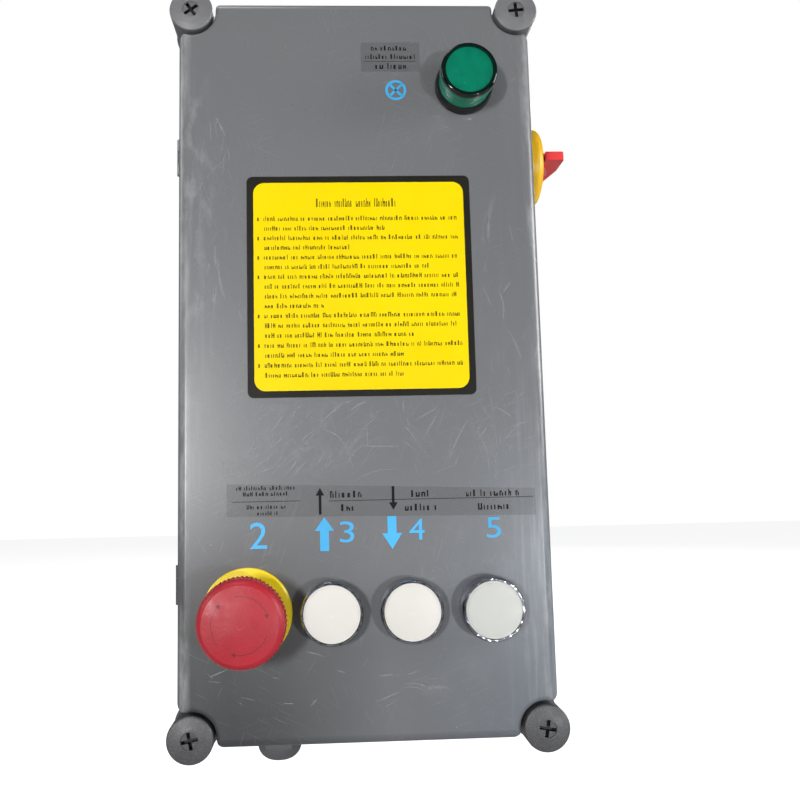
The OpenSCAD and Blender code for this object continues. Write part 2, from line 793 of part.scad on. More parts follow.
// Pilot lamp
module lamp_base() {
    color(black) upright() on_face(lamp_x, lamp_y) difference() {
        union() {
            rotate_extrude() polygon([[0, gasket_t], [14.8, gasket_t], [14.8, 3.6], [14.2, 4.4], [0, 4.4]]);
            rod(barrel_r, -barrel_l, gasket_t + bite);
            rod(10.4, -29, -barrel_l + bite);
        }
        rod(9.6, -12, 4.4 + bite);
        for (sx = [-1, 1]) translate([sx * 5, 0]) block(6, 9, -30, -24);
    }
}
module lamp_lens() {
    color(green) upright() on_face(lamp_x, lamp_y) rotate_extrude() difference() {
        union() {
            polygon([[0, 4.4], [12.9, 4.4], [13.3, 6], [13.1, 9], [13.3, lens_h - 6], [0, lens_h - 6]]);
            translate([0, lens_h - 6.2]) square([lens_r - 1.2, 6.2]);
            translate([0, lens_h - 6.2]) square([lens_r, 5]);
            translate([lens_r - 1.2, lens_h - 1.2]) circle(1.2);
        }
        translate([-bite, 3]) square([11.2 + bite, lens_h - 8]);
        translate([-bite, lens_h - 1]) square([11.8 + bite, 3]);
        translate([-20, 0]) square([20, 40]);
    }
}
module lamp_led() {
    color(white) upright() on_face(lamp_x, lamp_y) {
        rod(9.4, -12, -9);
        rod(4, -9, 3);
        translate([0, 0, 3]) sphere(4);
    }
}

// Emergency stop
collar_h = 9;
stem_r = 6;
stem_top = mushroom_h - 7;
hub_z = collar_h + estop_travel + 1.5;
module estop_ring() {
    color(yellow) upright() on_face(estop_x, row_y) difference() {
        rotate_extrude() polygon([[0, 0], [estop_ring_r, 0], [estop_ring_r, 2.2], [estop_ring_r - 0.8, 3], [0, 3]]);
        rod(barrel_r + 0.1, -bite, 4);
    }
}
module estop_body() {
    color(black) upright() on_face(estop_x, row_y) difference() {
        union() {
            rotate_extrude() polygon([[0, 3], [15, 3], [15, collar_h - 1.2], [13.8, collar_h], [0, collar_h]]);
            rod(barrel_r, -barrel_l, 3 + bite);
        }
        rod(stem_r + fit, -barrel_l - bite, collar_h + bite);
        translate([0, 0, 4]) rod(9.5, 0, collar_h);
    }
}
module estop_stem() {
    color(black) upright() on_face(estop_x, row_y) {
        rod(stem_r, -barrel_l + 7, stem_top);
        rod(8.6, hub_z - 2, hub_z);
        rod(2.2, -barrel_l - 8, -barrel_l + 7 + bite);
    }
}
module estop_spring() {
    color(steel) upright() on_face(estop_x, row_y) coil(2.5, 7.8, 4.1, hub_z - 2.1, 0.5);
}
module mushroom_2d() {
    circle(mushroom_r - 0.5);
    for (i = [0:grip_teeth - 1]) rotate(360 * i / grip_teeth) translate([mushroom_r - 0.6, 0]) circle(0.6);
}
module estop_head() {
    skirt = mushroom_h - 13;
    color(red) upright() on_face(estop_x, row_y) difference() {
        union() {
            translate([0, 0, skirt]) linear_extrude(7) mushroom_2d();
            rotate_extrude() intersection() {
                translate([0, mushroom_h - 95]) circle(95, $fn = 720);
                union() {
                    translate([0, hub_z + 2]) square([mushroom_r - 3, mushroom_h]);
                    translate([0, skirt + 1]) square([mushroom_r - 1, mushroom_h - skirt - 5]);
                    translate([mushroom_r - 5, mushroom_h - 5.5]) circle(4.4);
                }
            }
        }
        rod(stem_r + fit, 0, stem_top + seat);
        translate([0, 0, hub_z]) difference() {
            rod(mushroom_r - 3, -bite, skirt - hub_z + 7);
            rod(stem_r + 3, seat, mushroom_h);
        }
    }
}

// Push buttons
module at_buttons() { for (x = [up_x, down_x, lock_x]) on_face(x, row_y) children(); }
stem_bore_r = 9;
cup_floor = gasket_t + 1.6;
cap_bottom = cup_floor + button_travel + 0.4;
cap_top = bezel_h + 0.7;
module button_bezels() {
    color(chrome) upright() at_buttons() difference() {
        union() {
            rotate_extrude() polygon([[0, gasket_t], [bezel_r, gasket_t], [bezel_r, bezel_h - 2.4],
                [bezel_r - 0.3, bezel_h - 0.9], [bezel_r - 0.8, bezel_h], [0, bezel_h]]);
            rod(barrel_r, -barrel_l, gasket_t + bite);
        }
        rod(stem_bore_r, -barrel_l - bite, bezel_h);
        rod(cap_r + 0.35, cup_floor, bezel_h + bite);
    }
}
module button_cap(x) {
    color(white) upright() on_face(x, row_y) {
        rotate_extrude() intersection() {
            translate([0, cap_top - 120]) circle(120, $fn = 900);
            translate([0, cap_bottom]) union() {
                square([cap_r, cap_top - cap_bottom - 1]);
                square([cap_r - 1, cap_top]);
            }
        }
        rod(stem_bore_r - fit, -barrel_l + 6, cap_bottom + bite);
    }
}
module up_cap() { button_cap(up_x); }
module down_cap() { button_cap(down_x); }
module lock_cap() { button_cap(lock_x); }
module button_spring(x) {
    color(steel) upright() on_face(x, row_y) coil(2.5, 11.2, cup_floor, cap_bottom, 0.5);
}
module up_spring() { button_spring(up_x); }
module down_spring() { button_spring(down_x); }
module lock_spring() { button_spring(lock_x); }

// Contact blocks behind the operators, each with a plunger in the middle
contact_w = 30;
contact_h = 34;
contact_l = 26;
plunger_r = 2.2;
module contact_block() {
    difference() {
        union() {
            block(contact_w, contact_h - 6, -barrel_l - contact_l, -barrel_l);
            block(contact_w - 8, contact_h, -barrel_l - contact_l, -barrel_l - 9);
        }
        rod(plunger_r + fit, -barrel_l - 16, -barrel_l + bite);
        for (sx = [-1, 1], sy = [-1, 1]) translate([sx * 5.5, sy * (contact_h / 2)])
            block(7, 8, -barrel_l - 18, -barrel_l - 12);
        block(1, contact_h + bite, -barrel_l - contact_l - bite, -barrel_l - contact_l + 1);
    }
}
module contact_blocks() {
    color(dark_grey) upright() for (x = [estop_x, up_x, down_x, lock_x]) on_face(x, row_y) contact_block();
}
module contact_screws() {
    color(brass) upright() for (x = [estop_x, up_x, down_x, lock_x]) on_face(x, row_y)
        for (sx = [-1, 1], sy = [-1, 1]) translate([sx * 5.5, sy * (contact_h / 2 - 1.2), -barrel_l - 15])
            rotate([-90 * sy, 0, 0]) pan_screw(2.6, -1.2, 1.4);
}
module button_plunger(x) {
    color(red) upright() on_face(x, row_y) rod(plunger_r, -barrel_l - 8, -barrel_l + 6);
}
module up_plunger() { button_plunger(up_x); }
module down_plunger() { button_plunger(down_x); }
module lock_plunger() { button_plunger(lock_x); }

// Rotary main switch on the right side wall
neck_r = 11;
neck_l = 9;
dial_z = gasket_t + dial_t;
switch_top = -neck_l - 0.6;
deck_t = 12;
module switch_gasket() { color(black) upright() on_side() tube(dial_r - 1.5, panel_hole_r, 0, gasket_t); }
module switch_dial() {
    color(yellow) upright() on_side() difference() {
        union() {
            rotate_extrude() polygon(concat([[0, gasket_t], [dial_r - 0.6, gasket_t]],
                [for (a = [0:10:90]) [dial_r - 5 + 5 * cos(a), dial_z - 5 + 5 * sin(a)]], [[0, dial_z]]));
            rod(neck_r, -neck_l, gasket_t + bite);
        }
        rod(shaft_r + fit, -neck_l - bite, dial_z + bite);
    }
}
module switch_handle() {
    blade_top = dial_z + seat + blade_h;
    color(red) upright() on_side() difference() {
        union() {
            rod(9, dial_z + seat, dial_z + seat + 3);
            rotate([90, 0, 0]) translate([0, 0, -blade_t / 2]) linear_extrude(blade_t) polygon([
                [-blade_l / 2, dial_z + seat], [-blade_l / 2, blade_top - 0.8], [-blade_l / 2 + 0.8, blade_top],
                [-4, blade_top], [blade_l / 2 - 9, blade_top - 3], [blade_l / 2, dial_z + seat + 3],
                [blade_l / 2, dial_z + seat]]);
        }
        rod(shaft_r, 0, dial_z + seat + 5);
    }
}
module switch_shaft() {
    cam_r = 9;
    color(steel) upright() on_side() {
        rod(shaft_r, switch_top - switch_decks * deck_t, dial_z + seat + 5);
        for (i = [0:switch_decks - 1]) translate([0, 0, switch_top - (i + 0.5) * deck_t]) intersection() {
            rod(cam_r, -2.5, 2.5);
            rotate([0, 0, i * 45]) block(2 * cam_r, 10, -3, 3);
        }
    }
}
module switch_locknut() {
    color(black) upright() on_side() difference() {
        hex_bar(30, -wall - 5, -wall);
        rod(neck_r, -wall - 6, -wall + bite);
    }
}
module switch_body() {
    color(dark_grey) upright() on_side() difference() {
        rounded_plate(switch_w, switch_w, 4, switch_top - switch_decks * deck_t - 3, switch_top);
        rod(shaft_r + fit, switch_top - switch_decks * deck_t - 4, switch_top + bite);
        for (i = [0:switch_decks - 1]) translate([0, 0, switch_top - (i + 0.5) * deck_t]) {
            rod(10, -3.2, 3.2);
            for (sy = [-1, 1], sx = [-1, 1]) translate([sx * 11, sy * switch_w / 2]) block(8, 9, -3.4, 3.4);
            translate([0, 0, -deck_t / 2]) difference() {
                block(switch_w + bite, switch_w + bite, -0.3, 0.3);
                block(switch_w - 1.2, switch_w - 1.2, -bite, bite);
            }
        }
        for (sx = [-1, 1], sy = [-1, 1]) translate([sx * 15, sy * 15]) rod(1.6, -80, 0);
    }
}
module switch_screws() {
    color(steel) upright() on_side() for (sx = [-1, 1], sy = [-1, 1]) translate([sx * 15, sy * 15]) {
        rod(1.5, switch_top - switch_decks * deck_t - 3 - bite, switch_top);
        rod(2.8, switch_top - switch_decks * deck_t - 5, switch_top - switch_decks * deck_t - 3);
    }
}

// Cable glands in the bottom wall
washer_t = 1.5;
gland_hex_t = 6;
upper_r = gland_r - 1;
upper_l = 8;
gland_bore_r = 7;
module at_glands() { for (place = gland_places) on_bottom(place) children(); }
module gland_washers() { color(black) upright() at_glands() tube(gland_r + 2.6, gland_r + 0.2, 0, washer_t); }
module gland_bodies() {
    top = washer_t + gland_hex_t;
    color(black) upright() at_glands() difference() {
        union() {
            hex_bar(gland_af, washer_t, top);
            rod(gland_r, -wall - 8, washer_t + bite);
            rod(upper_r, top - bite, top + upper_l);
        }
        rod(gland_bore_r, -wall - 9, top + upper_l + bite);
    }
}
module gland_locknuts() {
    color(black) upright() at_glands() difference() {
        hex_bar(gland_af + 2, -wall - 5, -wall);
        rod(gland_r, -wall - 6, -wall + bite);
    }
}
module gland_seals() {
    top = washer_t + gland_hex_t + upper_l;
    color(black) upright() at_glands() tube(gland_bore_r, cable_r, top - 7, top + 3);
}
module gland_domes() {
    z0 = washer_t + gland_hex_t + seat;
    crown_r = 9.7;
    color(black) upright() at_glands() difference() {
        union() {
            hex_bar(gland_af, z0, z0 + 8);
            rotate_extrude() polygon(concat([[0, z0 + 6], [gland_af / 2 - 0.3, z0 + 6]],
                [for (a = [0:10:80]) [crown_r - 6 + 8 * cos(a), z0 + 8 + 8 * sin(a)]], [[0, z0 + 16]]));
        }
        rod(upper_r, z0 - bite, washer_t + gland_hex_t + upper_l + seat);
        rod(cable_r + 1.6, 0, z0 + 20);
        rod(gland_bore_r + 0.2, 0, washer_t + gland_hex_t + upper_l + 3.3);
    }
}

base_tub();
cover();
cover_seal();
hinge_pins();
cover_screw_top_left();
cover_screw_top_right();
cover_screw_bottom_left();
cover_screw_bottom_right();
mounting_plate();
plate_screws();
din_rails();
contactor_housing();
contactor_armature();
contactor_terminals();
breaker_housing();
breaker_toggle();
transformer_core();
transformer_coil();
transformer_frame();
terminal_strip();
terminal_screws();
rectifier();
fuse_holder();
earth_stud();
lamp_base();
lamp_lens();
lamp_led();
panel_gaskets();
panel_locknuts();
estop_ring();
estop_body();
estop_stem();
estop_head();
estop_spring();
button_bezels();
contact_blocks();
contact_screws();
up_cap();
down_cap();
lock_cap();
up_plunger();
down_plunger();
lock_plunger();
up_spring();
down_spring();
lock_spring();
switch_dial();
switch_gasket();
switch_handle();
switch_shaft();
switch_locknut();
switch_body();
switch_screws();
gland_bodies();
gland_washers();
gland_locknuts();
gland_seals();
gland_domes();
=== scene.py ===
import math
import random

import bpy
from mathutils import Matrix, Vector


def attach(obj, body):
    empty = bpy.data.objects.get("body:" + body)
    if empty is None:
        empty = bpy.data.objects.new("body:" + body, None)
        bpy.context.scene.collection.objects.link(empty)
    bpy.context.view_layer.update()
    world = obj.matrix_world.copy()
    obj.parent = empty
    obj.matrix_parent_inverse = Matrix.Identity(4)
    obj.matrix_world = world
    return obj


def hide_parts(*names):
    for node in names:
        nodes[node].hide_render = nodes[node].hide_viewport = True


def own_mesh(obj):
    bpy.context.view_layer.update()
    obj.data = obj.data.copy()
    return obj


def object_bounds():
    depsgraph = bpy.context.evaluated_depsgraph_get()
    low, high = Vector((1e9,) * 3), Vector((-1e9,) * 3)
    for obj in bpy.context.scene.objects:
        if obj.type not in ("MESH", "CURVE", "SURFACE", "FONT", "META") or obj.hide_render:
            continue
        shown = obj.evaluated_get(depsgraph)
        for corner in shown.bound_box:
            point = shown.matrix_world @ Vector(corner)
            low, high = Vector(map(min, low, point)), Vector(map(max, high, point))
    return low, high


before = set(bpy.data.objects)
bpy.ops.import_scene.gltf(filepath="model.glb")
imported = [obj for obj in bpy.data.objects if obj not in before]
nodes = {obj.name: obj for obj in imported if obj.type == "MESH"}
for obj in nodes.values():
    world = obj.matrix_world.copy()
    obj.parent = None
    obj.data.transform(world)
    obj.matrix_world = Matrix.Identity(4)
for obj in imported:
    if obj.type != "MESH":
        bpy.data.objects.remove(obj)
cad_box = [list(v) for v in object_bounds()]
rng = random.Random(7)

MM = 0.001
FACE = -0.130                      # y of the cover's front, in metres
# Places on the cover, in millimetres: x across from the middle, z up from the middle.
ROW = -123.0
STOP_X, UP_X, DOWN_X, LOCK_X = -57.0, -17.0, 20.7, 59.0
LAMP_X, LAMP_Z = 55.0, 138.0
SYMBOL_X, SYMBOL_Z = 20.2, 136.8
DOME_TOP, DOME_R = 36.0, 95.0      # the mushroom's top: its height over the cover, and its radius


# ---------------------------------------------------------------- camera, light
def make_camera():
    """The photograph's view: lens and shift are in pixels of an 800 pixel wide frame."""
    width, focal, shift_x, shift_y = 800.0, 853.0, 35.0, -18.0
    data = bpy.data.cameras.new("camera")
    data.sensor_width = 36.0
    data.lens = data.sensor_width * focal / width
    data.shift_x = shift_x / width
    data.shift_y = shift_y / width
    data.clip_start, data.clip_end = 0.01, 20.0
    cam = bpy.data.objects.new("camera", data)
    bpy.context.scene.collection.objects.link(cam)
    turn = (Matrix.Rotation(math.radians(-2.54), 4, "Z") @ Matrix.Rotation(math.radians(6.59), 4, "X")
            @ Matrix.Rotation(math.radians(1.25), 4, "Y") @ Matrix.Rotation(math.pi / 2, 4, "X"))
    cam.matrix_world = Matrix.Translation((-0.01729, -0.54609, -0.06166)) @ turn
    bpy.context.scene.camera = cam


def make_world():
    """White for the camera. A dim room lights the object: dark below, pale above, with patches."""
    world = bpy.data.worlds.new("studio")
    world.use_nodes = True
    bpy.context.scene.world = world
    t = world.node_tree
    t.nodes.clear()

    def node(kind, **values):
        n = t.nodes.new("ShaderNode" + kind)
        for key, value in values.items():
            n.inputs[key.replace("_", " ")].default_value = value
        return n

    out = node("OutputWorld")
    mix = node("MixShader")
    seen = node("Background", Color=(1, 1, 1, 1))
    room = node("Background", Strength=0.14)
    coord = node("TexCoord")
    split = node("SeparateXYZ")
    ramp = node("ValToRGB")
    for element, position, colour in zip(ramp.color_ramp.elements, (0.40, 0.66),
                                         ((0.12, 0.12, 0.13, 1), (0.78, 0.80, 0.84, 1))):
        element.position = position
        element.color = colour
    shift = node("Math")
    shift.operation = "MULTIPLY_ADD"
    shift.inputs[1].default_value = 0.5
    shift.inputs[2].default_value = 0.5
    path = node("LightPath")
    patches = node("TexNoise", Scale=2.6, Detail=1.0)
    contrast = node("MapRange", From_Min=0.44, From_Max=0.56, To_Min=0.35, To_Max=1.5)
    shade = node("Mix")
    shade.data_type = "RGBA"
    shade.blend_type = "MULTIPLY"
    shade.inputs[0].default_value = 1.0
    for a, b in ((coord.outputs["Generated"], split.inputs[0]),
                 (coord.outputs["Generated"], patches.inputs["Vector"]),
                 (patches.outputs[0], contrast.inputs["Value"]),
                 (split.outputs["Z"], shift.inputs[0]),
                 (shift.outputs[0], ramp.inputs[0]),
                 (ramp.outputs[0], shade.inputs[6]),
                 (contrast.outputs[0], shade.inputs[7]),
                 (shade.outputs[2], room.inputs["Color"]),
                 (path.outputs["Is Camera Ray"], mix.inputs[0]),
                 (room.outputs[0], mix.inputs[1]),
                 (seen.outputs[0], mix.inputs[2]),
                 (mix.outputs[0], out.inputs["Surface"])):
        t.links.new(a, b)
    bpy.context.scene.view_settings.view_transform = "Standard"


def area_light(name, place, target, size, power, colour=(1, 1, 1), size_y=None):
    data = bpy.data.lights.new(name, "AREA")
    data.energy = power
    data.color = colour
    data.size = size
    if size_y:
        data.shape = "RECTANGLE"
        data.size_y = size_y
    lamp = bpy.data.objects.new(name, data)
    bpy.context.scene.collection.objects.link(lamp)
    lamp.location = place
    lamp.rotation_mode = "QUATERNION"
    lamp.rotation_quaternion = (Vector(target) - Vector(place)).to_track_quat("-Z", "Y")


def make_floor():
    """A plain pale floor: the camera sees it glow, while the object gets only its diffuse light."""
    grey, glow_level, half, drop = 0.45, 0.88, 3, 0.06
    mesh = bpy.data.meshes.new("floor")
    z = cad_box[0][2] - drop
    corners = [(-half, -half, z), (half, -half, z), (half, half, z), (-half, half, z)]
    mesh.from_pydata(corners, [], [(0, 1, 2, 3)])
    floor = bpy.data.objects.new("floor", mesh)
    bpy.context.scene.collection.objects.link(floor)
    mat = bpy.data.materials.new("floor")
    mat.use_nodes = True
    t = mat.node_tree
    t.nodes.clear()
    out = t.nodes.new("ShaderNodeOutputMaterial")
    pick = t.nodes.new("ShaderNodeMixShader")
    both = t.nodes.new("ShaderNodeAddShader")
    lit = t.nodes.new("ShaderNodeBsdfDiffuse")
    lit.inputs["Color"].default_value = (grey, grey, grey, 1)
    glow = t.nodes.new("ShaderNodeEmission")
    glow.inputs["Color"].default_value = (glow_level, glow_level, glow_level, 1)
    path = t.nodes.new("ShaderNodeLightPath")
    t.links.new(lit.outputs[0], both.inputs[0])
    t.links.new(glow.outputs[0], both.inputs[1])
    t.links.new(path.outputs["Is Camera Ray"], pick.inputs[0])
    t.links.new(lit.outputs[0], pick.inputs[1])
    t.links.new(both.outputs[0], pick.inputs[2])
    t.links.new(pick.outputs[0], out.inputs["Surface"])
    floor.data.materials.append(mat)


# ---------------------------------------------------------------- materials
class Shade:
    """A procedural surface: one Principled shader with noise-driven colour, roughness and bump."""

    def __init__(self, name, rgb, rough, **sockets):
        self.mat = bpy.data.materials.new(name)
        self.mat.use_nodes = True
        self.tree = self.mat.node_tree
        self.bsdf = self.tree.nodes["Principled BSDF"]
        self.coord = self.tree.nodes.new("ShaderNodeTexCoord").outputs["Object"]
        self.bsdf.inputs["Roughness"].default_value = rough
        for k, v in sockets.items():
            self.bsdf.inputs[k.replace("_", " ")].default_value = v
        self.rough = rough
        self.colour = None
        self.rgb = rgb
        self.rough_out = None
        self.normal = None
        self.bsdf.inputs["Base Color"].default_value = (*rgb, 1)

    def node(self, kind, **values):
        n = self.tree.nodes.new(kind)
        for k, v in values.items():
            if hasattr(n, k):
                setattr(n, k, v)
            else:
                n.inputs[k].default_value = v
        return n

    def link(self, a, b):
        self.tree.links.new(a, b)

    def place(self, scale=(1, 1, 1), turn=0.0, shift=(0, 0, 0)):
        """Object coordinates turned about Y, then stretched and shifted."""
        first = self.node("ShaderNodeMapping")
        first.inputs["Rotation"].default_value = (0, turn, 0)
        second = self.node("ShaderNodeMapping")
        second.inputs["Scale"].default_value = scale
        second.inputs["Location"].default_value = shift
        self.link(self.coord, first.inputs[0])
        self.link(first.outputs[0], second.inputs[0])
        return second.outputs[0]

    def axis(self, letter):
        """One object coordinate, in metres."""
        n = self.node("ShaderNodeSeparateXYZ")
        self.link(self.coord, n.inputs[0])
        return n.outputs[letter]

    def noise(self, scale, detail=2.0, rough=0.5, at=None, distort=0.0):
        n = self.node("ShaderNodeTexNoise")
        n.inputs["Scale"].default_value = scale
        n.inputs["Detail"].default_value = detail
        n.inputs["Roughness"].default_value = rough
        n.inputs["Distortion"].default_value = distort
        self.link(at or self.coord, n.inputs["Vector"])
        return n.outputs[0]

    def remap(self, value, a, b, c, d):
        n = self.node("ShaderNodeMapRange")
        for i, v in zip(("From Min", "From Max", "To Min", "To Max"), (a, b, c, d)):
            n.inputs[i].default_value = v
        self.link(value, n.inputs["Value"])
        return n.outputs[0]

    def maths(self, op, a, b):
        n = self.node("ShaderNodeMath", operation=op)
        for i, v in enumerate((a, b)):
            if isinstance(v, (int, float)):
                n.inputs[i].default_value = v
            else:
                self.link(v, n.inputs[i])
        return n.outputs[0]

    def mix(self, factor, a, b, mode="MIX"):
        n = self.node("ShaderNodeMix", data_type="RGBA", blend_type=mode)
        for i, v in ((0, factor), (6, a), (7, b)):
            if isinstance(v, (int, float)):
                n.inputs[i].default_value = v
            elif isinstance(v, tuple):
                n.inputs[i].default_value = (*v, 1)
            else:
                self.link(v, n.inputs[i])
        return n.outputs[2]

    def vary(self, amount, scale, detail=4.0):
        """Lets the base colour drift, lighter and darker by a share of itself."""
        low = tuple(c * (1 - amount) for c in self.rgb)
        high = tuple(min(1, c * (1 + amount)) for c in self.rgb)
        f = self.remap(self.noise(scale, detail), 0.3, 0.7, 0, 1)
        self.colour = self.mix(f, low, high)
        return self

    def tint(self, mask, rgb, strength=1.0):
        """Lays a second colour over the first where the mask is 1."""
        f = self.maths("MULTIPLY", mask, strength)
        self.colour = self.mix(f, self.colour or self.rgb, rgb)
        return self

    def uneven(self, amount, scale, detail=3.0):
        self.rough_out = self.remap(self.noise(scale, detail), 0.3, 0.7,
                                    max(0.02, self.rough - amount), min(1, self.rough + amount))
        return self

    def bump(self, height, strength, distance):
        n = self.node("ShaderNodeBump")
        n.inputs["Strength"].default_value = strength
        n.inputs["Distance"].default_value = distance
        self.link(height, n.inputs["Height"])
        if self.normal:
            self.link(self.normal, n.inputs["Normal"])
        self.normal = n.outputs[0]
        return self

    def grain(self, scale, strength, distance=0.0002):
        return self.bump(self.noise(scale, 2.0), strength, distance)

    def specks(self, scale, rgb, strength, low=0.70, high=0.76):
        return self.tint(self.remap(self.noise(scale, 3, 0.7), low, high, 0, 1), rgb, strength)

    def done(self):
        if self.colour:
            self.link(self.colour, self.bsdf.inputs["Base Color"])
        if self.rough_out:
            self.link(self.rough_out, self.bsdf.inputs["Roughness"])
        if self.normal:
            self.link(self.normal, self.bsdf.inputs["Normal"])
        return self.mat


def plastic(name, rgb, rough=0.42, spread=0.07, grain=0.12, grain_scale=1400, **sockets):
    s = Shade(name, rgb, rough, **sockets)
    s.vary(spread, 35).uneven(0.09, 120).grain(grain_scale, grain)
    return s.specks(900, tuple(min(1, c * 1.5 + 0.04) for c in rgb), 0.3).done()


def metal(name, rgb, rough=0.28, brushed=0.10, axis=(1, 60, 1), **sockets):
    s = Shade(name, rgb, rough, Metallic=1.0, **sockets)
    s.vary(0.08, 50).uneven(0.10, 90)
    s.bump(s.noise(600, 2, at=s.place(scale=axis)), brushed, 0.0001)
    return s.specks(1100, tuple(c * 0.6 for c in rgb), 0.35).done()


def chrome():
    """Bright plating whose slightly wavy surface breaks up what it mirrors."""
    s = Shade("chrome", (0.34, 0.35, 0.39), 0.09, Metallic=1.0)
    s.vary(0.25, 420).uneven(0.04, 300)
    s.bump(s.noise(220, 3, 0.6), 0.8, 0.0008)
    return s.specks(1300, (0.12, 0.12, 0.13), 0.5, 0.62, 0.70).done()


def cover_material():
    """Satin grey moulded plastic: painted shade darker low down, painted highlights at the edges, with
    hairlines and dust.
    """
    s = Shade("cover_plastic", (0.163, 0.166, 0.173), 0.28)
    s.bsdf.inputs["Coat Weight"].default_value = 0.06
    s.bsdf.inputs["Coat Roughness"].default_value = 0.15
    s.vary(0.012, 600)
    across, up = s.axis("X"), s.axis("Z")
    front = s.remap(s.axis("Y"), -0.1235, -0.1285, 0, 1)

    # broad tones, mostly painted shade and glare: darker at the foot, most of all on the left, and cooler
    # towards the lower right
    low = s.remap(up, -0.06, -0.17, 0, 1)
    left = s.remap(across, 0.01, -0.065, 0.0, 1)
    # painted shade: darker and a little cooler towards the foot
    s.tint(s.remap(up, -0.09, -0.14, 0, 1), (0.116, 0.121, 0.128), 0.45)
    # painted shade: much darker low on the left, around the mushroom, where its shadow falls
    s.tint(s.maths("MULTIPLY", low, left), (0.030, 0.030, 0.030), 0.95)
    # painted shade: a little darker towards the top
    s.tint(s.remap(up, 0.05, 0.18, 0, 1), (0.155, 0.157, 0.162), 0.95)
    s.tint(s.remap(s.noise(6, 2, 0.5), 0.42, 0.66, 0, 1), (0.122, 0.127, 0.137), 0.30)
    # painted reflection: a cooler, bluer tone towards the lower right, for the right lamp's bluish glare
    right = s.maths("MULTIPLY", s.remap(across, 0.01, 0.075, 0, 1), s.remap(up, 0.0, -0.11, 0, 1))
    right = s.maths("MULTIPLY", right, front)
    s.tint(right, (0.122, 0.138, 0.160), 0.85)
    # painted reflection: pale bluish patches of that glare
    glare_patches = s.remap(s.noise(38, 5, 0.7), 0.50, 0.66, 0, 1)
    s.tint(s.maths("MULTIPLY", right, glare_patches), (0.21, 0.225, 0.245), 0.35)

    # painted highlight as pale blots beside the left edge, and wiped smears all over
    left_highlight_area = s.maths("MULTIPLY", s.remap(across, -0.066, -0.080, 0, 1), s.remap(up, -0.04, 0.04, 0, 1))
    left_highlight_area = s.maths("MULTIPLY", left_highlight_area, s.remap(up, 0.150, 0.120, 0, 1))
    left_highlight_area = s.maths("MULTIPLY", left_highlight_area, front)
    highlight_blots = s.remap(s.noise(1.0, 4, 0.65, at=s.place(scale=(90, 1, 48))), 0.53, 0.68, 0, 1)
    s.tint(s.maths("MULTIPLY", left_highlight_area, highlight_blots), (0.36, 0.365, 0.37), 0.42)
    smear = s.noise(1.0, 5, 0.7, at=s.place(scale=(55, 1, 22), turn=0.5))
    s.tint(s.remap(smear, 0.62, 0.9, 0, 1), (0.26, 0.265, 0.27), 0.22)

    # painted highlight along both long edges, broken up by noise
    side = s.maths("ABSOLUTE", across, 0)
    edge_highlight = s.maths("MULTIPLY", s.remap(side, 0.0835, 0.0872, 0, 1), s.remap(side, 0.0905, 0.0885, 0, 1))
    highlight_breakup = s.noise(1.0, 4, 0.7, at=s.place(scale=(90, 1, 24)))
    edge_highlight = s.maths("MULTIPLY", edge_highlight, s.remap(highlight_breakup, 0.45, 0.75, 0.05, 1))
    s.tint(edge_highlight, (0.47, 0.475, 0.48), 0.70)

    # painted highlight: upright pale streaks of lamp glare beside both long edges
    glare_streak = s.remap(s.noise(1.0, 4, 0.7, at=s.place(scale=(260, 1, 14))), 0.48, 0.72, 0, 1)
    glare_streak = s.maths("MULTIPLY", glare_streak, front)
    glare_band = s.maths("MULTIPLY", s.remap(across, 0.062, 0.086, 0, 1), s.remap(up, 0.02, -0.09, 0.15, 1))
    s.tint(s.maths("MULTIPLY", glare_band, glare_streak), (0.30, 0.33, 0.37), 0.6)
    glare_band = s.maths("MULTIPLY", s.remap(across, -0.070, -0.086, 0, 1), s.remap(up, -0.08, 0.0, 0.1, 1))
    glare_band = s.maths("MULTIPLY", glare_band, s.remap(up, 0.155, 0.120, 0, 1))
    s.tint(s.maths("MULTIPLY", glare_band, glare_streak), (0.31, 0.32, 0.33), 0.45)

    # hairlines in four directions, in patches
    hair = None
    directions = ((0.35, 55, 3600, 0.70), (1.25, 45, 4200, 0.70),
                  (1.9, 60, 3800, 0.71), (2.7, 50, 4000, 0.71))
    for k, (angle, along, aside, cut) in enumerate(directions):
        at = s.place(scale=(along, 1, aside), turn=angle, shift=(k * 3.1, 0, k * 1.7))
        line = s.remap(s.noise(1.0, 1.0, 0.4, at=at), cut, cut + 0.04, 0, 1)
        spot = s.remap(s.noise(16, 2, at=s.place(shift=(k * 5.0, 1, 2))), 0.45, 0.62, 0, 1)
        one = s.maths("MULTIPLY", line, spot)
        hair = one if hair is None else s.maths("MAXIMUM", hair, one)
    s.tint(hair, (0.32, 0.33, 0.34), 0.50)
    s.specks(520, (0.45, 0.46, 0.47), 0.55, 0.73, 0.77)
    s.specks(1600, (0.26, 0.265, 0.27), 0.35, 0.66, 0.72)
    s.rough_out = s.remap(s.noise(12, 3), 0.3, 0.7, 0.288, 0.33)
    s.grain(1800, 0.07, 0.0001)
    s.bump(hair, 0.12, -0.0001)
    return s.done()


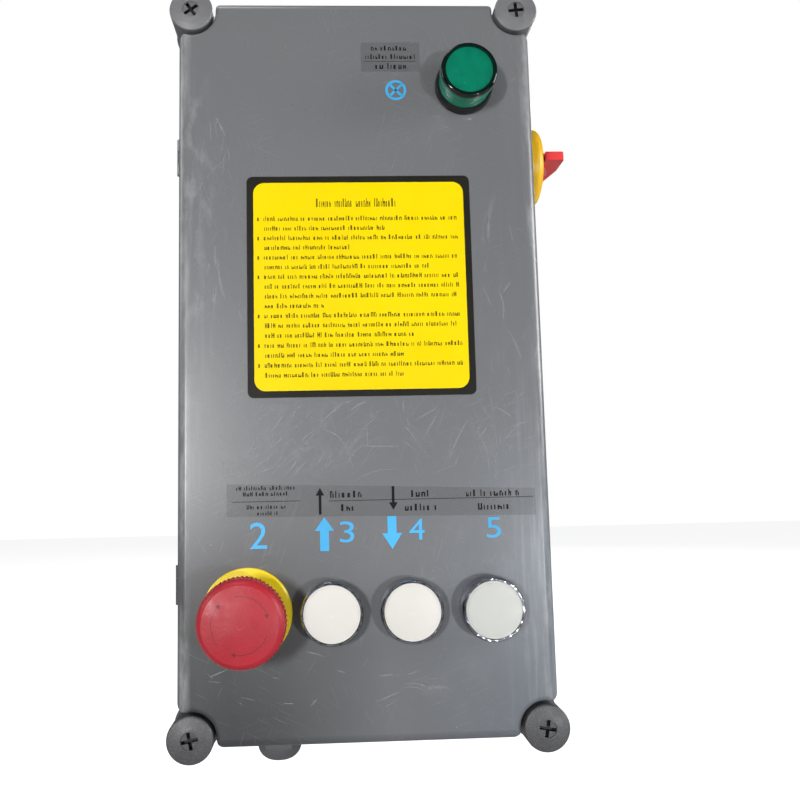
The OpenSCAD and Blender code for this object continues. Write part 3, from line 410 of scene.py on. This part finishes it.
def screw_material():
    """Grey moulded heads with a dry speckle: painted shade makes the lower screws darker and the cross
    recess black.
    """
    s = Shade("screw_plastic", (0.195, 0.195, 0.201), 0.46, Metallic=0.3)
    s.vary(0.10, 140).uneven(0.08, 200)
    # painted shade: darker on the lower screws
    s.tint(s.remap(s.axis("Z"), -0.1, -0.17, 0, 1), (0.064, 0.064, 0.067), 0.92)
    s.specks(2400, (0.34, 0.34, 0.35), 0.45, 0.52, 0.70)
    # Generated runs from 0 to 1 over each screw's own box, so 0.5, 0.5 is its axis
    own = s.node("ShaderNodeSeparateXYZ")
    s.link(s.node("ShaderNodeTexCoord").outputs["Generated"], own.inputs[0])
    off = [s.maths("SUBTRACT", own.outputs[k], 0.5) for k in "XZ"]
    near = s.maths("ADD", *(s.maths("MULTIPLY", v, v) for v in off))
    y = s.axis("Y")
    # painted shade: the cross recess made near-black
    recess_shade = s.maths("MULTIPLY", s.remap(y, -0.1310, -0.1302, 0, 1), s.remap(y, -0.1255, -0.1270, 0, 1))
    s.tint(s.maths("MULTIPLY", recess_shade, s.remap(near, 0.048, 0.040, 0, 1)), (0.010, 0.010, 0.011), 0.92)
    s.grain(2600, 0.35, 0.0001)
    return s.done()


def make_materials():
    m = {}
    m["base"] = plastic("base_plastic", (0.10, 0.102, 0.108), 0.46, grain=0.16)
    m["cover"] = cover_material()
    m["screw"] = screw_material()
    m["rubber"] = plastic("seal_rubber", (0.020, 0.020, 0.021), 0.75, grain=0.25)
    m["black"] = plastic("black_plastic", (0.011, 0.011, 0.012), 0.45, grain=0.15,
                         Specular_IOR_Level=0.25)
    m["gland"] = plastic("gland_plastic", (0.10, 0.10, 0.105), 0.42, grain=0.12)
    m["white"] = plastic("white_plastic", (0.70, 0.70, 0.67), 0.45, spread=0.03)
    m["cap"] = plastic("cap_plastic", (0.69, 0.668, 0.622), 0.50, spread=0.03, grain=0.08)
    m["cap_grey"] = plastic("cap_plastic_grey", (0.545, 0.55, 0.52), 0.48, spread=0.03, grain=0.08)
    m["handle"] = plastic("handle_plastic", (0.80, 0.050, 0.052), 0.36, spread=0.05, grain=0.08)
    m["beige"] = plastic("beige_plastic", (0.55, 0.51, 0.42), 0.5, spread=0.05)
    m["steel"] = metal("bright_steel", (0.58, 0.58, 0.59), 0.30)
    m["zinc"] = metal("zinc_sheet", (0.30, 0.31, 0.30), 0.56, brushed=0.15)
    m["brass"] = metal("brass", (0.72, 0.53, 0.24), 0.30)
    m["chrome"] = chrome()
    m["core"] = metal("core_steel", (0.13, 0.13, 0.14), 0.45, brushed=0.7, axis=(1, 80, 1))
    m["tape"] = plastic("coil_tape", (0.58, 0.40, 0.08), 0.35, spread=0.1)
    m["yellow"] = plastic("yellow_plastic", (0.97, 0.72, 0.01), 0.36, spread=0.04)
    m["amber"] = plastic("amber_plastic", (1.0, 0.58, 0.018), 0.34, spread=0.02)
    m["red"] = plastic("red_plastic", (0.415, 0.015, 0.028), 0.44, spread=0.10, grain=0.35, grain_scale=900,
                       Specular_IOR_Level=0.4)
    m["lens"] = lens_material()
    return m


def lens_material():
    """Clear green moulding; its turned front edge is a near-black painted dark reflection."""
    s = Shade("green_lens", (0.0, 0.40, 0.24), 0.05)
    s.bsdf.inputs["Transmission Weight"].default_value = 0.45
    s.bsdf.inputs["IOR"].default_value = 1.49
    dx = s.maths("SUBTRACT", s.axis("X"), LAMP_X * MM)
    dz = s.maths("SUBTRACT", s.axis("Z"), LAMP_Z * MM)
    r = s.maths("SQRT", s.maths("ADD", s.maths("MULTIPLY", dx, dx), s.maths("MULTIPLY", dz, dz)), 0)
    # painted reflection: a dark ring where the front edge turns
    rim = s.maths("MULTIPLY", s.remap(s.axis("Y"), -0.1470, -0.1482, 0, 1), s.remap(r, 0.0112, 0.0119, 0, 1))
    return s.vary(0.06, 60).tint(rim, (0.0, 0.012, 0.008)).uneven(0.03, 200).grain(700, 0.03).done()


BY_NODE = {
    "base_tub": "base", "cover": "cover", "cover_seal": "rubber", "hinge_pins": "steel",
    "mounting_plate": "zinc", "plate_screws": "steel", "din_rails": "zinc",
    "contactor_housing": "black", "contactor_armature": "white", "contactor_terminals": "brass",
    "breaker_housing": "white", "breaker_toggle": "black", "transformer_core": "core",
    "transformer_coil": "tape", "transformer_frame": "zinc", "terminal_strip": "beige",
    "terminal_screws": "steel", "rectifier": "black", "fuse_holder": "black",
    "earth_stud": "brass", "lamp_base": "black", "lamp_lens": "lens", "lamp_led": "white",
    "panel_gaskets": "rubber", "panel_locknuts": "black", "estop_ring": "yellow",
    "estop_body": "black", "estop_stem": "black", "estop_head": "red", "estop_spring": "steel",
    "button_bezels": "chrome", "contact_blocks": "black", "contact_screws": "brass",
    "switch_dial": "amber", "switch_gasket": "rubber", "switch_handle": "handle",
    "switch_shaft": "steel", "switch_locknut": "black", "switch_body": "black",
    "switch_screws": "steel", "lock_cap": "cap_grey", "gland_bodies": "gland", "gland_washers": "rubber",
    "gland_locknuts": "gland", "gland_seals": "rubber", "gland_domes": "gland"}


def dress_nodes(m):
    for name, obj in nodes.items():
        key = BY_NODE.get(name)
        if key is None:
            key = ("screw" if name.startswith("cover_screw") else
                   "cap" if name.endswith("_cap") else
                   "steel" if name.endswith("_spring") else "red")
        for s in obj.material_slots:
            s.material = m[key]
        if not obj.material_slots:
            obj.data.materials.append(m[key])


# ---------------------------------------------------------------- pieces on the cover
def add_mesh(name, verts, faces, mat, body="cover"):
    mesh = bpy.data.meshes.new(name)
    mesh.from_pydata(verts, [], faces)
    mesh.update()
    obj = bpy.data.objects.new(name, mesh)
    bpy.context.scene.collection.objects.link(obj)
    obj.data.materials.append(mat)
    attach(obj, body)
    return obj


def on_cover(x, z, up=0.0):
    """A point up mm above the cover's front, from millimetres across and up the panel."""
    return (x * MM, FACE - up * MM, z * MM)


def rounded_outline(x0, z0, x1, z1, r, steps=8):
    pts = []
    corners = ((x1 - r, z1 - r, 0), (x0 + r, z1 - r, 90), (x0 + r, z0 + r, 180), (x1 - r, z0 + r, 270))
    for cx, cz, a0 in corners:
        for k in range(steps + 1):
            a = math.radians(a0 + 90 * k / steps)
            pts.append((cx + r * math.cos(a), cz + r * math.sin(a)))
    return pts


def plate(verts, faces, outline, low, high):
    """Adds a thin plate, with its rim, to a list of points and faces."""
    n, b = len(outline), len(verts)
    verts += [on_cover(x, z, low) for x, z in outline] + [on_cover(x, z, high) for x, z in outline]
    faces.append([b + n + k for k in range(n)])
    faces.append([b + k for k in reversed(range(n))])
    for k in range(n):
        j = (k + 1) % n
        faces.append([b + k, b + j, b + n + j, b + n + k])


def plates(name, outlines, low, high, mat):
    """Thin plates on the cover, between two heights over its front in millimetres, as one piece."""
    verts, faces = [], []
    for o in outlines:
        plate(verts, faces, o, low, high)
    return add_mesh(name, verts, faces, mat)


def bar(x0, z0, x1, z1):
    return [(x0, z0), (x1, z0), (x1, z1), (x0, z1)]


def greeked(x0, x1, z, height, glyph, gap, space=1.1):
    """A line of plain upright strokes that stands in for small print: it spells nothing."""
    out, x = [], x0
    while x < x1 - glyph:
        for _ in range(rng.randint(2, 9)):
            w = glyph * rng.uniform(0.35, 1.05)
            if x + w > x1:
                break
            h = height * rng.choice((0.68, 0.68, 0.72, 1.0))
            if rng.random() < 0.55 and w > 0.55 * glyph:
                out.append(bar(x, z, x + w * 0.34, z + h))
                out.append(bar(x + w * 0.66, z, x + w, z + h * rng.choice((0.68, 0.68, 1.0))))
                level = z + h * rng.choice((0, 0.4, 0.76))
                out.append(bar(x + w * 0.34, level, x + w * 0.66, level + 0.24 * height))
            else:
                out.append(bar(x, z, x + w * 0.62, z + h))
            x += w + gap
        x += space
    return [o for o in out if abs(o[2][1] - o[0][1]) > 0.05]


def make_label():
    black = plastic("label_border", (0.013, 0.012, 0.009), 0.45, grain=0.05, Specular_IOR_Level=0.15)
    s = Shade("label_film", (0.88, 0.65, 0.0), 0.42)
    s.bsdf.inputs["Specular IOR Level"].default_value = 0.1
    s.vary(0.03, 22).uneven(0.10, 60).grain(500, 0.03)
    film = s.specks(700, (0.72, 0.60, 0.03), 0.35, 0.70, 0.78).done()
    ink = plastic("label_ink", (0.095, 0.080, 0.003), 0.5, grain=0.03, Specular_IOR_Level=0.1)
    plates("label_border", [rounded_outline(-56.2, -20.6, 56.2, 91.2, 3)], 0.02, 0.16, black)
    plates("label_film", [rounded_outline(-52.9, -17.3, 52.9, 87.9, 5.5)], 0.16, 0.21, film)
    marks = greeked(-21.5, 21.5, 75.2, 4.4, glyph=1.25, gap=0.35, space=1.6)
    z, line_step, margin = 68.2, 4.93, 50.0
    for lines in (2, 2, 2, 4, 3, 2, 2):
        for k in range(lines):
            left = -47.8 if k == 0 else -47.5
            right = margin if k < lines - 1 else rng.uniform(-25, 45)
            if k == 0:
                marks.append(bar(-51.0, z, -50.2, z + 1.8))
            marks += greeked(left, right, z, 2.4, glyph=1.45, gap=0.36)
            z -= line_step
    plates("label_print", marks, 0.21, 0.23, ink)


def disc_points(cx, cz, r, n=64):
    return [(cx + r * math.cos(math.tau * k / n), cz + r * math.sin(math.tau * k / n)) for k in range(n)]


def digits(name, text, x, z, height, wide, mat):
    """A plain number printed on the cover, with its lower left corner at x, z and the given size."""
    raised = 0.03
    curve = bpy.data.curves.new(name, "FONT")
    curve.body = text
    curve.size = 1.0
    curve.extrude = 0.0
    probe = bpy.data.objects.new(name + "_probe", curve)
    bpy.context.scene.collection.objects.link(probe)
    bpy.context.view_layer.update()
    mesh = bpy.data.meshes.new_from_object(probe.evaluated_get(bpy.context.evaluated_depsgraph_get()))
    bpy.data.objects.remove(probe)
    xs = [v.co.x for v in mesh.vertices]
    ys = [v.co.y for v in mesh.vertices]
    kx, ky = wide / (max(xs) - min(xs)), height / (max(ys) - min(ys))
    x0, y0 = min(xs), min(ys)
    for v in mesh.vertices:
        v.co = Vector(on_cover(x + (v.co.x - x0) * kx, z + (v.co.y - y0) * ky, raised))
    obj = bpy.data.objects.new(name, mesh)
    bpy.context.scene.collection.objects.link(obj)
    obj.data.materials.clear()
    obj.data.materials.append(mat)
    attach(obj, "cover")


def arrow(x, z0, z1, width, shaft, head):
    """An arrow outline from z0 to its tip z1."""
    s = 1 if z1 > z0 else -1
    n = z1 - s * head
    pts = [(x - shaft / 2, z0), (x + shaft / 2, z0), (x + shaft / 2, n), (x + width / 2, n),
           (x, z1), (x - width / 2, n), (x - shaft / 2, n)]
    return pts if s > 0 else list(reversed(pts))


def lamp_symbol():
    """A ring with a cross in it, the usual sign for a lamp, as four-sided outlines."""
    outer, inner, arm, half, n = 5.4, 4.1, 4.3, 0.6, 48
    ring = disc_points(SYMBOL_X, SYMBOL_Z, outer, n)
    hole = disc_points(SYMBOL_X, SYMBOL_Z, inner, n)
    out = [[ring[k], ring[(k + 1) % n], hole[(k + 1) % n], hole[k]] for k in range(n)]
    for a in (math.pi / 4, 3 * math.pi / 4):
        ca, sa = math.cos(a), math.sin(a)
        out.append([(SYMBOL_X + u * ca - w * sa, SYMBOL_Z + u * sa + w * ca) for u, w in
                    ((-arm, -half), (arm, -half), (arm, half), (-arm, half))])
    return out


def make_markings():
    """Clear strips, blue arrows and numbers, the lamp's sign, and black strokes in place of small print."""
    blue = plastic("blue_paint", (0.045, 0.41, 0.78), 0.5, grain=0.1, spread=0.10)
    black = plastic("black_print", (0.010, 0.010, 0.011), 0.5, grain=0.05, Specular_IOR_Level=0.1)
    s = Shade("clear_film", (0.130, 0.127, 0.132), 0.34, Alpha=0.10)
    film = s.vary(0.10, 60).uneven(0.1, 90).bump(s.noise(45, 3), 0.25, 0.0006).done()
    film_low, film_high, paint_low, paint_high = 0.02, 0.09, 0.01, 0.04
    strip = [(-66.7, -77.7), (83.0, -79.9), (83.1, -67.0), (-66.6, -62.0)]
    plates("clear_strip", [strip], film_low, film_high, film)
    plates("clear_tag", [rounded_outline(2.7, 146.8, 33.0, 162.6, 0.8)], film_low, film_high, film)
    plates("blue_arrows",
           [arrow(-19.9, -94.8, -78.7, 9.2, 4.3, 6.5), arrow(12.7, -79.0, -94.6, 9.6, 4.3, 7.5)],
           paint_low, paint_high, blue)
    plates("lamp_symbol", lamp_symbol(), paint_low, paint_high, blue)
    digits("number_stop", "2", -55.6, -93.0, 12.4, 8.2, blue)
    digits("number_up", "3", -12.6, -91.0, 10.0, 7.0, blue)
    digits("number_down", "4", 21.0, -90.5, 10.0, 7.4, blue)
    digits("number_lock", "5", 58.6, -90.5, 9.8, 7.0, blue)
    marks = [arrow(-21.8, -77.4, -64.8, 4.2, 1.3, 3.6), arrow(13.6, -64.6, -76.0, 4.2, 1.3, 3.6),
             bar(-64.0, -70.8, -31.4, -70.55), bar(-17.5, -71.2, 82.0, -70.95), bar(4.0, 152.2, 31.0, 152.4)]
    # each line of strokes: from x, to x, z, height
    for x0, x1, z, h in ((-58.8, -35.2, -68.0, 2.0), (-62, -33, -65.2, 2.0), (-57, -38, -74.2, 2.0),
                         (-52, -42, -77.2, 1.8), (-16.9, 0.5, -69.6, 3.2), (-11.7, -3.5, -76.0, 3.2),
                         (22.4, 35.0, -70.0, 3.2), (19.2, 37.2, -76.6, 3.2), (49.2, 76.2, -70.4, 3.2),
                         (54.8, 70.5, -76.9, 3.2), (8.0, 28.0, 158.2, 2.6), (5.0, 31.0, 153.6, 2.6),
                         (10.0, 26.0, 148.2, 3.2)):
        marks += greeked(x0, x1, z, h, glyph=0.62 * h, gap=0.24 * h, space=0.45 * h)
    plates("black_marks", marks, 0.09, 0.11, black)


def ribbon(points, width, lift):
    """A flat strip along points on the cover, narrowing to its ends."""
    verts, faces = [], []
    n = len(points)
    for k, (x, z) in enumerate(points):
        ax, az = points[max(0, k - 1)]
        bx, bz = points[min(n - 1, k + 1)]
        d = math.hypot(bx - ax, bz - az) or 1.0
        w = width * (0.25 + 0.75 * math.sin(math.pi * (k + 0.5) / n)) / 2
        nx, nz = -(bz - az) / d * w, (bx - ax) / d * w
        verts += [on_cover(x + nx, z + nz, lift), on_cover(x - nx, z - nz, lift)]
    for k in range(n - 1):
        faces.append([2 * k, 2 * k + 1, 2 * k + 3, 2 * k + 2])
    return verts, faces


def clear_of_operators(x, z):
    """True on the bare front of the cover: not past its edge, on the label or under an operator."""
    if abs(x) > 83.5 or abs(z) > 176 or (abs(x) > 68 and abs(z) > 163):
        return False
    if -57 < x < 57 and -21.5 < z < 92:
        return False
    spots = ((STOP_X, ROW, 24), (UP_X, ROW, 16.5), (DOWN_X, ROW, 16.5), (LOCK_X, ROW, 16.5),
             (LAMP_X, LAMP_Z, 15.5))
    return all(math.hypot(x - a, z - b) > r for a, b, r in spots)


def make_scratches():
    s = Shade("scratch", (0.38, 0.39, 0.40), 0.5, Alpha=0.45)
    pale = s.vary(0.2, 200).grain(2500, 0.1).done()
    # each group: how many, range of x, range of z, lean and its spread, shortest and longest, width
    groups = ((90, (-78, 78), (-60, -22), (1.05, 0.5), (6, 34), 0.10),
              (46, (-70, 0), (-62, -22), (0.75, 0.25), (10, 40), 0.11),
              (40, (-82, -60), (-60, 120), (1.5, 0.25), (5, 26), 0.13),
              (16, (-80, -30), (40, 165), (1.4, 0.7), (3, 12), 0.06),
              (26, (20, 80), (60, 170), (0.9, 0.8), (3, 12), 0.07),
              (50, (-78, 80), (-170, -140), (0.3, 0.8), (3, 16), 0.09),
              (36, (58, 82), (-120, 60), (1.5, 0.4), (4, 22), 0.10),
              (30, (-80, -60), (-110, 60), (1.5, 0.3), (4, 24), 0.10),
              (20, (-60, 60), (95, 170), (0.6, 1.0), (3, 10), 0.06))
    starts = []
    for count, xr, zr, (lean, spread), (short, long), width in groups:
        for _ in range(count):
            starts.append((rng.uniform(*xr), rng.uniform(*zr), rng.gauss(lean, spread),
                           rng.uniform(short, long) * rng.uniform(0.4, 1), rng.gauss(0, 0.003), width))
    # swipes of near-parallel scratches: x, z, lean, length, width of the bundle, how many
    swipes = ((-52, -52, 0.9, 34, 16, 12), (-30, -50, 0.75, 30, 14, 14), (-8, -46, 1.15, 22, 10, 9),
              (30, -48, 2.1, 20, 10, 8), (62, -58, 1.45, 30, 9, 10), (-76, 20, 1.5, 40, 8, 9),
              (66, 60, 1.6, 30, 9, 8), (20, -160, 0.3, 26, 9, 8))
    for x, z, lean, length, wide, count in swipes:
        bend = rng.gauss(0, 0.006)
        for _ in range(count):
            off = rng.uniform(-wide, wide) / 2
            slip = rng.uniform(-0.3, 0.3) * length
            starts.append((x + math.cos(lean) * slip - math.sin(lean) * off,
                           z + math.sin(lean) * slip + math.cos(lean) * off,
                           lean + rng.gauss(0, 0.04), length * rng.uniform(0.4, 1), bend, 0.09))
    verts, faces = [], []
    steps = 8
    for x, z, a, length, bend, width in starts:
        pts = []
        for _ in range(steps):
            if not clear_of_operators(x, z):
                break
            pts.append((x, z))
            x += math.cos(a) * length / steps
            z += math.sin(a) * length / steps
            a += bend * length
        if len(pts) > 2:
            v, f = ribbon(pts, width * rng.choice((1.3, 1.8, 2.4, 3.5, 6.0)), 0.012)
            faces += [[i + len(verts) for i in q] for q in f]
            verts += v
    add_mesh("scratches", verts, faces, pale)


def make_lamp_inside():
    """What shows through the lens: a pale diffuser sleeve, and a bare legend disc under the front."""
    s = Shade("lamp_legend", (0.0, 0.17, 0.095), 0.40)
    s.bsdf.inputs["Specular IOR Level"].default_value = 0.15
    legend = s.vary(0.14, 160).uneven(0.08, 200).specks(500, (0.06, 0.34, 0.23), 0.4, 0.66, 0.74).done()
    pale = Shade("lamp_diffuser", (0.22, 0.90, 0.62), 0.35).vary(0.1, 200).grain(900, 0.1).done()
    ring, n = [], 64
    for level in (4.6, 15.2):
        for r in (10.2, 11.0):
            ring += [on_cover(x, z, level) for x, z in disc_points(LAMP_X, LAMP_Z, r, n)]
    # the four circles of the sleeve are joined in the order inner low, outer low, outer high, inner high
    quads = []
    for k in range(n):
        j = (k + 1) % n
        for a, b in ((0, 1), (1, 3), (3, 2), (2, 0)):
            quads.append([a * n + k, a * n + j, b * n + j, b * n + k])
    add_mesh("lamp_diffuser", ring, quads, pale)
    verts, faces = [], []
    plate(verts, faces, disc_points(LAMP_X, LAMP_Z, 11.7), 19.55, 19.85)
    add_mesh("lamp_legend", verts, faces, legend)


def make_springs():
    """Each return spring, as its node has it, copied onto the cover as a coil of its own, with the node
    hidden.
    """
    for name, joint, travel in (("up", "up_press", 4.5), ("down", "down_press", 4.5),
                                ("lock", "lock_press", 4.5), ("estop", "estop_push", 6.0)):
        node = name + "_spring"
        coil = bpy.data.objects.new(node + "_coil", nodes[node].data.copy())
        bpy.context.scene.collection.objects.link(coil)
        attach(coil, "cover")
        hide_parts(node)
        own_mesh(coil)


def make_twist_arrows():
    """Three thin curved arrows printed on the mushroom's top: they follow its dome."""
    ink = plastic("arrow_ink", (0.16, 0.006, 0.014), 0.5, grain=0.05)
    mid, half, barb, raised = 12.5, 0.15, 1.1, 0.03
    sweep, tip_at, root_at, n = 82, 88, 79, 24
    verts, faces = [], []

    def at(r, a):
        level = DOME_TOP - DOME_R + math.sqrt(DOME_R ** 2 - r * r) + raised
        return on_cover(STOP_X + r * math.cos(a), ROW + r * math.sin(a), level)

    for start in (100, 220, 340):
        b = len(verts)
        for k in range(n + 1):
            a = math.radians(start - sweep * k / n)
            verts += [at(mid - half, a), at(mid + half, a)]
        for k in range(n):
            faces.append([b + 2 * k, b + 2 * k + 1, b + 2 * k + 3, b + 2 * k + 2])
        tip, root = math.radians(start - tip_at), math.radians(start - root_at)
        b = len(verts)
        verts += [at(mid, tip), at(mid + barb, root), at(mid - barb, root)]
        faces.append([b, b + 1, b + 2])
    add_mesh("twist_arrows", verts, faces, ink, "estop_head")


# ---------------------------------------------------------------- build
make_camera()
make_world()
# two small lamps in front give the doubled shadows and the edge glare; the soft ones light the sides
area_light("left_lamp", (-0.47, -1.34, 0.01), (0, -0.13, 0.0), 0.07, 9.4, size_y=0.20)
area_light("right_lamp", (0.53, -1.31, -0.28), (0, -0.13, -0.02), 0.07, 11.8, (0.96, 0.98, 1.0), size_y=0.20)
area_light("side_fill", (1.30, -0.45, 0.30), (0.05, -0.06, 0.05), 0.5, 12)
area_light("back", (0.5, 1.4, 0.9), (0, 0, 0), 0.6, 14)
area_light("left_highlight_area", (-1.3, -0.2, 0.5), (0, -0.05, 0), 0.6, 4)
area_light("top", (-0.30, -0.35, 1.2), (0, -0.05, 0.12), 0.4, 3.5)
make_floor()
dress_nodes(make_materials())
make_label()
make_markings()
make_scratches()
make_lamp_inside()
make_springs()
make_twist_arrows()
